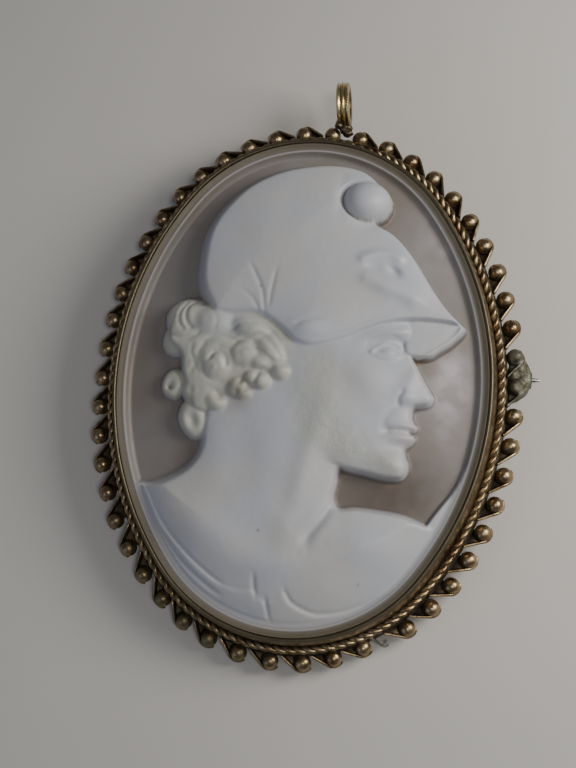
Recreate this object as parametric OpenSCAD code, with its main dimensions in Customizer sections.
// Shell cameo of a helmeted head in a gilt brooch frame, lying on its back.
// The face looks up +Z and the bail points to +Y. The origin is the middle of the frame's back plane.
// Places across the border are given by how far they lie outward of the bead line, so inward is negative.

/* [Oval] */
// Half width of the bead line
bead_line_x = 15.7; // [14:0.1:18]
// Half height of the bead line
bead_line_y = 20.3; // [19:0.1:23]
// Radius of the arcs at the top and the bottom
end_radius = 13.4; // [12.6:0.1:13.8]

/* [Bead row] */
// Number of places along the row
units = 51; // [40:1:60]
// Radius of a bead
bead_r = 0.65; // [0.55:0.01:0.68]
// Height of the bead centres above the back plane
bead_z = 1.15; // [0.9:0.05:1.4]
// Thickness of the scrolled strip
strip_t = 0.17; // [0.15:0.01:0.24]
// Height of the scrolled strip
strip_h = 0.9; // [0.6:0.05:1.1]
// Place whose bead is lost
lost_unit = 10; // [2:1:30]

/* [Rope and bezel] */
// Radius of the rope wire
rope_r = 0.32; // [0.3:0.01:0.34]
// Outward place of the rope wire
rope_out = -0.98; // [-1.02:0.01:-0.95]
// Height of the rope wire
rope_z = 1.9; // [1.86:0.01:1.92]
// Height of the bezel's lip
lip_z = 4.05; // [3.9:0.05:4.3]
// Thickness of the ledge that carries the shell
ledge_t = 0.45; // [0.3:0.05:0.6]

/* [Shell] */
// Play between the shell and the metal
play = 0.05; // [0.03:0.01:0.08]
// Outward place of the raised rim line
ridge_out = -2.54; // [-2.6:0.01:-2.5]
// Height of the raised rim line
ridge_z = 3.8; // [3.7:0.05:3.9]
// Height of the ground just inside the rim line
ground_z = 3.35; // [3.2:0.05:3.5]
// Rise of the ground towards the middle
dome_rise = 1.1; // [0.6:0.05:1.6]
// Rise of the hollow back
hollow_rise = 1.3; // [0.8:0.05:1.5]
// Grid squares across the relief
grid_x = 50; // [30:2:52]
// Grid squares up the relief
grid_y = 68; // [40:2:70]

/* [Head] */
// Height of the head from the chin to the crown
head_h = 18; // [17:0.1:19]
// Height of the chin
chin_y = -6.6; // [-7:0.1:-6.2]
// Place of the face's front line
face_x = 8.1; // [7.8:0.1:8.5]

/* [Bail] */
// Radius of the bail's eye
eye_r = 1.15; // [0.9:0.05:1.3]
// Outer radius of the bail
bail_r = 1.72; // [1.6:0.01:1.8]
// Width of the bail
bail_w = 1; // [0.8:0.05:1.2]
// Place of the bail's centre to the right of the middle
bail_x = 1.66; // [1.6:0.02:1.7]
// Place of the bail's centre above the middle
bail_y = 22.25; // [22.2:0.05:22.3]
// Height of the bail's centre above the back plane
bail_z = 1.75; // [1.7:0.05:2]
// Lean of the bail to the left of upright, in degrees
bail_lean = 4; // [0:0.5:6]

/* [Brooch pin] */
// Radius of the pin
pin_r = 0.34; // [0.25:0.01:0.4]
// Height of the pin's axis, behind the back plane
pin_z = -0.68; // [-0.72:0.01:-0.66]
// Place of the pin above the middle
pin_y = 1.8; // [1:0.1:3]
// Place of the pin's point
pin_tip_x = 17.5; // [17:0.1:18]
// Place of the hinge's rivet
rivet_x = -13.55; // [-13.7:0.05:-13.4]
// Radius of the rivet
rivet_r = 0.25; // [0.2:0.01:0.3]

/* [Hidden] */
$fn = 48;
gilt = [0.62, 0.50, 0.30];
white_shell = [0.85, 0.84, 0.82];
solder_grey = [0.52, 0.53, 0.46];
steel = [0.62, 0.62, 0.62];

// The oval is four arcs that meet smoothly. Arcs at the ends turn about [0, +-end_y],
// arcs at the sides about [-+side_x, 0].
end_y = bead_line_y - end_radius;
side_radius = (end_y * end_y + bead_line_x * bead_line_x - end_radius * end_radius)
    / (2 * (bead_line_x - end_radius));
side_x = side_radius - bead_line_x;
meet = atan2(end_y, side_x);
side_len = side_radius * meet * PI / 180;
quarter = side_len + end_radius * (90 - meet) * PI / 180;
pitch = 4 * quarter / units;

// Clockwise from the right, how far the first place lies before the +X axis, in pitches
first_lead = 0.44;
// Bends of the worn row, read between its rows: [place, slide along in pitches, push outward in mm]
row_bends = [
    [-3, 0.05, 0.05], [-1, 0.03, 0], [1, 0.03, -0.08], [4, 0, 0.1], [7, -0.02, 0.17], [8, -0.06, 0.08],
    [9, -0.04, 0], [10, -0.2, -0.3], [11, -0.45, -0.35], [13, -0.38, -0.12], [15, -0.2, -0.12],
    [16, -0.1, -0.1], [18, -0.04, -0.1], [19, 0, 0.05], [21, 0.05, 0.27], [24, 0, 0.1], [26, 0, -0.17],
    [28, 0.06, -0.12], [30, 0.02, -0.05], [36, 0.03, -0.3], [42, 0.1, -0.3], [44, 0.1, -0.2],
    [46, 0.07, 0], [47, 0.06, 0.1], [48, 0.05, 0.05]];
// Places whose beads are sunk in the catch's solder
catch_units = [-1, 0];
// Place beside the bail, whose strip gives way to the bail's foot
bail_unit = 39;

// Where a strip leaves the carrying ring: clockwise of its bead, and outward
strip_root = [1.5, -0.7];
// Side of the bead, from straight outward, where the strip ends
strip_end = 58;
// Radius at which the strip lies on its bead, a little inside so that they join
hug_r = bead_r - 0.05;

// Outward and upward places of the carrying ring and bezel, then of the wall's inner side
ledge_out = -3;
wall_in = -1.8;
wall_out = -1.3;
ring_out = -0.55;
metal_profile = [
    [ledge_out, 0], [wall_out, 0], [wall_out, 0.65], [ring_out, 0.75], [ring_out, 1.5], [-0.72, 1.62],
    [-1.25, 1.66], [-1.46, 3], [-1.66, lip_z - 0.08], [-1.74, lip_z], [-1.87, lip_z], [-1.95, lip_z - 0.08],
    [-1.96, 3.2], [wall_in, 2.45], [wall_in, ledge_t], [ledge_out, ledge_t]];

// The shell's rim from the ground outward: [outward, upward]
girdle_out = wall_in - play;
seat_z = ledge_t + play;
ground_out = -3;
rim_rows = [
    [-2.72, 3.5], [ridge_out, ridge_z], [-2.03, 3.7], [-2.01, 3.2], [girdle_out, 2.4], [girdle_out, seat_z]];
// The hollow back: [share of the way out, share of its rise]
back_rows = [[0.97, 0], [0.8, 0.42], [0.45, 0.87]];
shell_x = bead_line_x + ground_out;
shell_y = bead_line_y + ground_out;

// The head in thirds of the face: chin, base of the nose, brow and hairline lie a third apart
third = head_h / 3.5;
// Profile: [thirds above the chin, thirds in front of the face's front line]
profile_rows = [
    [2.35, -0.08], [2.03, 0], [1.86, -0.05], [1.45, 0.15], [1.15, 0.34], [1.05, 0.3], [0.98, 0.07],
    [0.8, 0.05], [0.7, 0.13], [0.63, 0.04], [0.55, 0.1], [0.4, -0.03], [0.22, 0.05], [0.05, -0.03]];
profile = [for (r = profile_rows) [face_x + r[1] * third, chin_y + r[0] * third]];

// Outlines of the relief's masses, drawn through smoothly: [x, y]
helmet_line = [
    [-7.3, 5.3], [-8.05, 7.6], [-7.9, 10.4], [-6.6, 13.2], [-4.6, 15], [-2.4, 16], [1.4, 16.5], [4.2, 15.85],
    [5.6, 14.1], [5, 12.1], [6.4, 11.15], [8.1, 9.2], [9.55, 7], [10.8, 5.5], [11.8, 4.55], [10.6, 4.6],
    [8.5, 4.65], [6, 4.2], [3.3, 3], [0.7, 2.25], [-1.3, 3.2], [-3.3, 4.3], [-5.4, 4.1]];
head_line = concat(profile, [
    [7.2, -6.7], [5.2, -6.5], [3.2, -6], [0.6, -4.9], [-1, -2.5], [-2, 2], [2, 6], [6, 6]]);
visor_line = [[7.8, 5], [10.4, 5], [11.8, 4.5], [11.1, 3.4], [10.1, 2.6], [9.1, 2.05], [7.5, 2.4]];
neck_line = [
    [-3, 1.5], [-6.6, -1.6], [-7.1, -4.4], [-7.1, -5.4], [-8.2, -6.7], [-10.8, -7.8], [-13.5, -8.2],
    [-14, -14], [-7, -20], [7, -20], [14, -15], [13.5, -10.6], [10.2, -9.9], [8.6, -9.3], [6, -8.9],
    [3.6, -8.9], [3.1, -8.2], [3.3, -6.4], [5, -5], [2, 1.5]];
// Masses: [outline, wall height, crown height, how far in the crown is reached]
masses = [
    [visor_line, 0.7, 0.9, 1], [neck_line, 0.75, 1.5, 5.5], [head_line, 0.95, 1.65, 4.5],
    [helmet_line, 1.25, 2.45, 6]];

// Round forms that stand on the ground: [x, y, half length, half width, turn, height, dimple]
curls = [
    [-8.45, 4.35, 1.95, 1.6, 6, 1.7, 0], [-6.5, 4, 2, 1.5, 0, 1.95, 0], [-9.2, 2.85, 1.45, 1.25, 60, 1.2, 0],
    [-9.25, -0.55, 1.2, 0.98, 75, 1.25, 0.42], [-7.5, -3.05, 1.6, 1.25, 110, 1.45, 0.5],
    [-5.8, -1.75, 1.2, 1.1, 0, 1.85, 0.4], [-7.7, 0, 1.2, 1.9, 10, 1.6, 0.15],
    [-5.87, 0.95, 1.75, 1.65, 20, 2.15, 0.3], [-4.3, -0.75, 1.15, 1.05, 20, 2, 0.34],
    [-2.3, -0.3, 1, 0.95, 10, 2.15, 0], [-0.85, 0.15, 1.1, 1, 0, 2.15, 0], [-3, 1.8, 2.4, 1.7, -30, 2.1, 0],
    [-3.6, 3.6, 2.2, 1.3, -12, 2.05, 0], [4.2, 13.55, 1.8, 1.6, 0, 2.7, 0]];

// Soft swellings and hollows added on top: [x, y, half length, half width, turn, height]
eye_y = chin_y + head_h / 2 - third * 0.12;
touches = [
    [face_x - 0.28 * third, chin_y + 1.98 * third, 1.1, 0.45, 15, 0.22],
    [face_x - 0.34 * third, eye_y, 0.95, 0.55, 0, -0.42],
    [face_x - 0.4 * third, eye_y, 0.5, 0.34, 0, 0.36],
    [face_x - 0.12 * third, chin_y + 1.1 * third, 0.5, 0.4, 0, 0.22],
    [face_x - 0.62 * third, chin_y + 1.35 * third, 1.6, 1.1, -20, 0.18],
    [face_x - 0.14 * third, chin_y + 0.62 * third, 0.6, 0.16, 0, -0.2],
    [face_x - 0.12 * third, chin_y + 0.18 * third, 0.8, 0.7, 0, 0.15],
    [0.2, 3.7, 1.2, 0.6, 8, 0.25], [5.8, 9.6, 0.5, 0.35, -35, 0.12]];

// Narrow ridges and grooves: [points, half width, height]
lines = [
    [[[11.5, 4.7], [10.6, 4.85], [8.4, 4.9], [5.9, 4.45], [3.2, 3.25], [0.6, 2.5]], 0.3, 0.12],
    [[[-2.6, 5], [-3, 6.65], [-3.6, 7.8], [-4.1, 8.7]], 0.22, -0.2],
    [[[-2.3, 5.2], [-2.15, 6.6], [-1.85, 8.4]], 0.22, -0.2],
    [[[-3, 4.9], [-3.45, 5.6], [-4.7, 6.5]], 0.22, -0.16],
    [[[3.1, -8.2], [2.8, -9.1], [2.2, -10], [1.3, -11.2]], 0.35, -0.3],
    [[[-9.8, -10], [-8.8, -11.3], [-7.8, -12.3], [-6.6, -13.4], [-5.1, -14.5], [-4, -15.2]], 0.25, -0.2],
    [[[0.2, -15.2], [0.6, -15.8], [2.5, -16.5], [4.2, -16.2], [6.1, -15.4], [8.6, -13.4], [10, -11.5]],
        0.25, -0.2],
    [[[-2.2, -14.3], [-2.1, -15.1], [-1.8, -16.3]], 0.25, -0.22],
    [[[-1.3, -15.7], [-1.1, -16.5], [-0.7, -17.4]], 0.25, -0.22]];

// Spline through a closed ring of points, with steps points to each
function spline(p, q, r, s, t) = 0.5 * (2 * q + (r - p) * t + (2 * p - 5 * q + 4 * r - s) * t * t
    + (3 * q - p - 3 * r + s) * t * t * t);
function rounded(ring, steps) = let (n = len(ring))
    [for (i = [0:n - 1], k = [0:steps - 1])
        spline(ring[(i + n - 1) % n], ring[i], ring[(i + 1) % n], ring[(i + 2) % n], k / steps)];

// Distance from a point to a segment and to a run of points
function off_segment(p, a, b) = let (ab = b - a, t = max(0, min(1, ((p - a) * ab) / (ab * ab))))
    norm(p - a - t * ab);
function off_run(p, run) = min([for (i = [0:len(run) - 2]) off_segment(p, run[i], run[i + 1])]);
// Depth of a point inside a ring, 0 outside
function passes(p, a, b) = (a[1] > p[1]) != (b[1] > p[1])
    && p[0] < a[0] + (b[0] - a[0]) * (p[1] - a[1]) / (b[1] - a[1]);
function is_inside(p, ring) = let (n = len(ring))
    len([for (i = [0:n - 1]) if (passes(p, ring[i], ring[(i + 1) % n])) 1]) % 2 == 1;
function depth_in(p, ring) = is_inside(p, ring) ? off_run(p, concat(ring, [ring[0]])) : 0;

// Place in a form's own turned frame, where its outline is the unit circle
function in_form(p, f) = let (d = [p[0] - f[0], p[1] - f[1]], c = cos(f[4]), s = sin(f[4]))
    norm([(c * d[0] + s * d[1]) / f[2], (c * d[1] - s * d[0]) / f[3]]);

// Width of the sloping wall round each mass
wall_w = 0.75;
mass_rings = [for (m = masses) rounded(m[0], 3)];
function mass_height(p, k) = let (m = masses[k], d = depth_in(p, mass_rings[k]), t = min(1, d / m[3]))
    d <= 0 ? 0 : m[1] * min(1, d / wall_w) + (m[2] - m[1]) * sqrt(1 - (1 - t) * (1 - t));
function curl_height(p, f) = let (q = in_form(p, f))
    q >= 1 ? 0 : f[5] * pow(1 - q * q, 0.35) - f[6] * exp(-q * q * 12);
function touch_height(p, f) = let (q = in_form(p, f)) q > 2.5 ? 0 : f[5] * exp(-q * q);
function line_height(p, l) = let (q = off_run(p, l[0]) / l[1]) q > 2.5 ? 0 : l[2] * exp(-q * q);
function sum(list) = len(list) == 0 ? 0 : list * [for (v = list) 1];

function ground(p) = ground_z + dome_rise * max(0, 1 - pow(p[0] / shell_x, 2) - pow(p[1] / shell_y, 2));

// Height of the relief, which falls to the rim's height beside it
rim_rise = 0.4;
rim_slope = 18;
// The mass with the shoulders rounds down to the rim slowly, over this share of the way to it
shoulders = 1;
shoulder_rise = 1.2;
shoulder_zone = 0.3;
function shoulder_limit(share) = let (t = min(1, (1 - share) / shoulder_zone))
    rim_rise + shoulder_rise * (1 - (1 - t) * (1 - t));
function form_height(p, k, share) = k == shoulders
    ? min(mass_height(p, k), shoulder_limit(share)) : mass_height(p, k);
function relief(p, share) = let (
    body = max([for (k = [0:len(masses) - 1]) form_height(p, k, share)]),
    high = max(body, max([for (f = curls) curl_height(p, f)])),
    fine = sum([for (f = touches) touch_height(p, f)]) + sum([for (l = lines) line_height(p, l)]))
    high <= 0 ? 0 : max(0, high + fine);

// Distance from the middle to the oval, pushed outward by out, in the direction a
function oval_reach(a, out) = let (
    x = abs(cos(a)), y = abs(sin(a)), r = end_radius + out,
    near = y * end_y, t = near + sqrt(near * near - end_y * end_y + r * r), big = side_radius + out,
    back = -x * side_x, s = back + sqrt(back * back - side_x * side_x + big * big))
    atan2(y * t - end_y, x * t) >= meet ? t : s;
// A grid place in the unit square becomes one in the oval
function on_disc(u, v) = [u * sqrt(1 - v * v / 2), v * sqrt(1 - u * u / 2)];
function in_oval(u, v, out) = let (d = on_disc(u, v), a = atan2(d[1] * bead_line_y, d[0] * bead_line_x),
    r = norm(d)) r * oval_reach(a, out) * [cos(a), sin(a)];
function surface_z(p, share) = ground(p) + min(relief(p, share), rim_rise + rim_slope * (1 - share));

// The ring of grid places round the unit square, anticlockwise from its lower left corner
edge_uv = concat(
    [for (i = [0:grid_x - 1]) [2 * i / grid_x - 1, -1]], [for (j = [0:grid_y - 1]) [1, 2 * j / grid_y - 1]],
    [for (i = [0:grid_x - 1]) [1 - 2 * i / grid_x, 1]], [for (j = [0:grid_y - 1]) [-1, 1 - 2 * j / grid_y]]);
edge_n = len(edge_uv);
function edge_index(k) = let (q = k % edge_n, w = grid_x + 1)
    q < grid_x ? q : q < grid_x + grid_y ? (q - grid_x) * w + grid_x
    : q < 2 * grid_x + grid_y ? grid_y * w + 2 * grid_x + grid_y - q : (edge_n - q) * w;

module shell_cameo() {
    grid = [for (j = [0:grid_y], i = [0:grid_x])
        let (u = 2 * i / grid_x - 1, v = 2 * j / grid_y - 1, p = in_oval(u, v, ground_out))
        [p[0], p[1], surface_z(p, norm(on_disc(u, v)))]];
    rims = [for (r = rim_rows, e = edge_uv) let (p = in_oval(e[0], e[1], r[0])) [p[0], p[1], r[1]]];
    backs = [for (r = back_rows, e = edge_uv)
        let (p = r[0] * in_oval(e[0], e[1], ground_out)) [p[0], p[1], seat_z + hollow_rise * r[1]]];
    points = concat(grid, rims, backs, [[0, 0, seat_z + hollow_rise]]);
    rings = len(rim_rows) + len(back_rows);
    first = len(grid);
    last = first + (rings - 1) * edge_n;
    tip = len(points) - 1;
    faces = concat(
        [for (j = [0:grid_y - 1], i = [0:grid_x - 1], h = [0:1])
            let (a = j * (grid_x + 1) + i, c = a + grid_x + 2, d = c - 1)
            h == 0 ? [c, a + 1, a] : [d, c, a]],
        [for (k = [0:edge_n - 1], h = [0:1])
            let (a = edge_index(k), b = edge_index(k + 1), c = first + (k + 1) % edge_n, d = first + k)
            h == 0 ? [b, c, a] : [c, d, a]],
        [for (r = [0:rings - 2], k = [0:edge_n - 1], h = [0:1])
            let (a = first + r * edge_n + k, b = first + r * edge_n + (k + 1) % edge_n, d = a + edge_n)
            h == 0 ? [b, b + edge_n, a] : [b + edge_n, d, a]],
        [for (k = [0:edge_n - 1]) [last + (k + 1) % edge_n, tip, last + k]]);
    color(white_shell) polyhedron(points, faces);
}

// A profile of outward and upward places swept round the whole oval
module round_oval() {
    for (side = [0, 1]) {
        rotate([0, 0, side * 180]) translate([-side_x, 0, 0])
            rotate_extrude(angle = 2 * meet, start = -meet) translate([side_radius, 0]) children();
        rotate([0, 0, side * 180]) translate([0, end_y, 0])
            rotate_extrude(angle = 180 - 2 * meet, start = meet) translate([end_radius, 0]) children();
    }
}

// Frame of a place on the bead line, s clockwise from the +X axis: Y of the child is outward, X is clockwise
module at_oval(s, out) {
    q = floor(s / quarter);
    w = s - q * quarter;
    way = q % 2 == 0 ? w : quarter - w;
    turn = way < side_len ? way / side_radius * 180 / PI : meet + (way - side_len) / end_radius * 180 / PI;
    centre = way < side_len ? [-side_x, 0] : [0, end_y];
    r = (way < side_len ? side_radius : end_radius) + out;
    x = centre[0] + r * cos(turn);
    y = centre[1] + r * sin(turn);
    k = ((q % 4) + 4) % 4;
    sx = k == 0 || k == 3 ? 1 : -1;
    sy = k == 0 || k == 1 ? -1 : 1;
    translate([sx * x, sy * y, 0]) rotate([0, 0, atan2(sy * sin(turn), sx * cos(turn)) - 90]) children();
}

function bend(i, column) = let (n = i > units - 3 ? i - units : i)
    lookup(n, [for (r = row_bends) [r[0], r[column]]]);
function unit_s(i) = (i - first_lead + bend(i, 1)) * pitch;

// A scrolled strip is straight from its root to where it touches the bead's side, then bent round the bead
strip_bends = 6;
function round_bead(r, from, k) = let (a = from + (90 + strip_end - from) * k / strip_bends)
    r * [cos(a), sin(a)];
module strip(push) {
    root = [strip_root[0], strip_root[1] - push];
    outer = hug_r + strip_t;
    turn = atan2(root[1], root[0]) + acos(outer / norm(root));
    straight = sqrt(root * root - outer * outer) * [sin(turn), -cos(turn)];
    outline = concat(
        [straight + round_bead(hug_r, turn, 0), straight + round_bead(outer, turn, 0)],
        [for (k = [0:strip_bends]) round_bead(outer, turn, k)],
        [for (k = [0:strip_bends]) round_bead(hug_r, turn, strip_bends - k)]);
    translate([0, 0, bead_z - strip_h / 2]) linear_extrude(strip_h) polygon(outline);
}

// A bead, turned so that its seam line lies clear of the ring and the strip
module bead() { translate([0, 0, bead_z]) rotate([0, 0, 195]) sphere(r = bead_r); }

module bead_unit(i, with_bead, with_strip) {
    at_oval(unit_s(i), bend(i, 2)) {
        if (with_bead) bead();
        if (with_strip) strip(bend(i, 2));
    }
}

module frame() {
    color(gilt) union() {
        round_oval() polygon(metal_profile);
        round_oval() translate([rope_out, rope_z]) circle(r = rope_r);
        for (i = [1:units - 2]) bead_unit(i, i != lost_unit, i != bail_unit);
    }
}

module bail() {
    foot = [0.7, 1.15, 1.25];
    foot_y = -2.5;
    reed_r = 0.17;
    color(gilt) translate([bail_x, bail_y, 0]) rotate([0, 0, bail_lean]) union() {
        translate([0, 0, bail_z]) rotate([0, 90, 0]) rotate_extrude() union() {
            translate([eye_r, -bail_w / 2]) square([bail_r - reed_r - eye_r, bail_w]);
            for (k = [-1, 0, 1]) translate([bail_r - reed_r, k * (bail_w / 2 - reed_r)]) circle(r = reed_r);
        }
        translate([-foot[0] / 2, foot_y, bead_z - 0.4]) cube(foot);
    }
}

// Everything inside the carrying ring's outer face, less the play
module inside_ring() {
    clear = ring_out + play;
    tall = 8;
    translate([0, 0, -tall / 2]) linear_extrude(tall) {
        for (side = [-1, 1]) {
            translate([0, side * end_y]) circle(r = end_radius + clear);
        }
        intersection() {
            translate([-side_x, 0]) circle(r = side_radius + clear);
            translate([side_x, 0]) circle(r = side_radius + clear);
            square([3 * bead_line_x, 2 * end_y], center = true);
        }
    }
}

module catch() {
    hook_in = pin_r + 0.08;
    hook_t = 0.24;
    hook_w = 1.5;
    plate_r = 2.05;
    plate_t = 0.95;
    plate_x = bead_line_x - 0.75;
    color(solder_grey) difference() {
        union() {
            translate([plate_x, pin_y - 0.1, 0]) cylinder(r = plate_r, h = plate_t);
            for (i = catch_units) bead_unit(i, true, true);
            translate([plate_x + 0.15, pin_y, pin_z]) {
                rotate([0, 90, 0]) rotate_extrude(angle = 290, start = -60)
                    translate([hook_in, 0]) square([hook_t, hook_w]);
                translate([0, -hook_in, hook_in + 0.05]) cube([hook_w, 2 * hook_in, hook_t]);
            }
        }
        inside_ring();
    }
}

module hinge() {
    ear_t = 0.55;
    ear_gap = 1.3;
    ear_r = 0.56;
    base = [1.6, 2 * ear_t + ear_gap, 0.2];
    solder_t = 0.02;
    color(gilt) translate([rivet_x, pin_y, 0]) union() {
        translate([-base[0] / 2, -base[1] / 2, -solder_t - base[2]]) cube(base);
        for (side = [-1, 1]) translate([0, side * (ear_gap + ear_t) / 2, 0]) {
            translate([0, ear_t / 2, pin_z]) rotate([90, 0, 0]) cylinder(r = ear_r, h = ear_t);
            translate([-ear_r, -ear_t / 2, pin_z]) cube([2 * ear_r, ear_t, -pin_z - base[2] / 2]);
        }
        translate([0, base[1] / 2, pin_z]) rotate([90, 0, 0]) cylinder(r = rivet_r, h = base[1]);
    }
}

module pin_stem() {
    knuckle_w = 1.1;
    knuckle_r = 0.44;
    point_l = 2.6;
    stem_l = pin_tip_x - rivet_x - point_l;
    color(steel) translate([rivet_x, pin_y, pin_z]) difference() {
        union() {
            translate([0, knuckle_w / 2, 0]) rotate([90, 0, 0]) cylinder(r = knuckle_r, h = knuckle_w);
            rotate([0, 90, 0]) cylinder(r = pin_r, h = stem_l);
            translate([stem_l, 0, 0]) rotate([0, 90, 0]) cylinder(r1 = pin_r, r2 = 0.08, h = point_l);
        }
        translate([0, knuckle_w, 0]) rotate([90, 0, 0]) cylinder(r = rivet_r + 0.03, h = 2 * knuckle_w);
    }
}

shell_cameo();
frame();
bail();
catch();
hinge();
pin_stem();
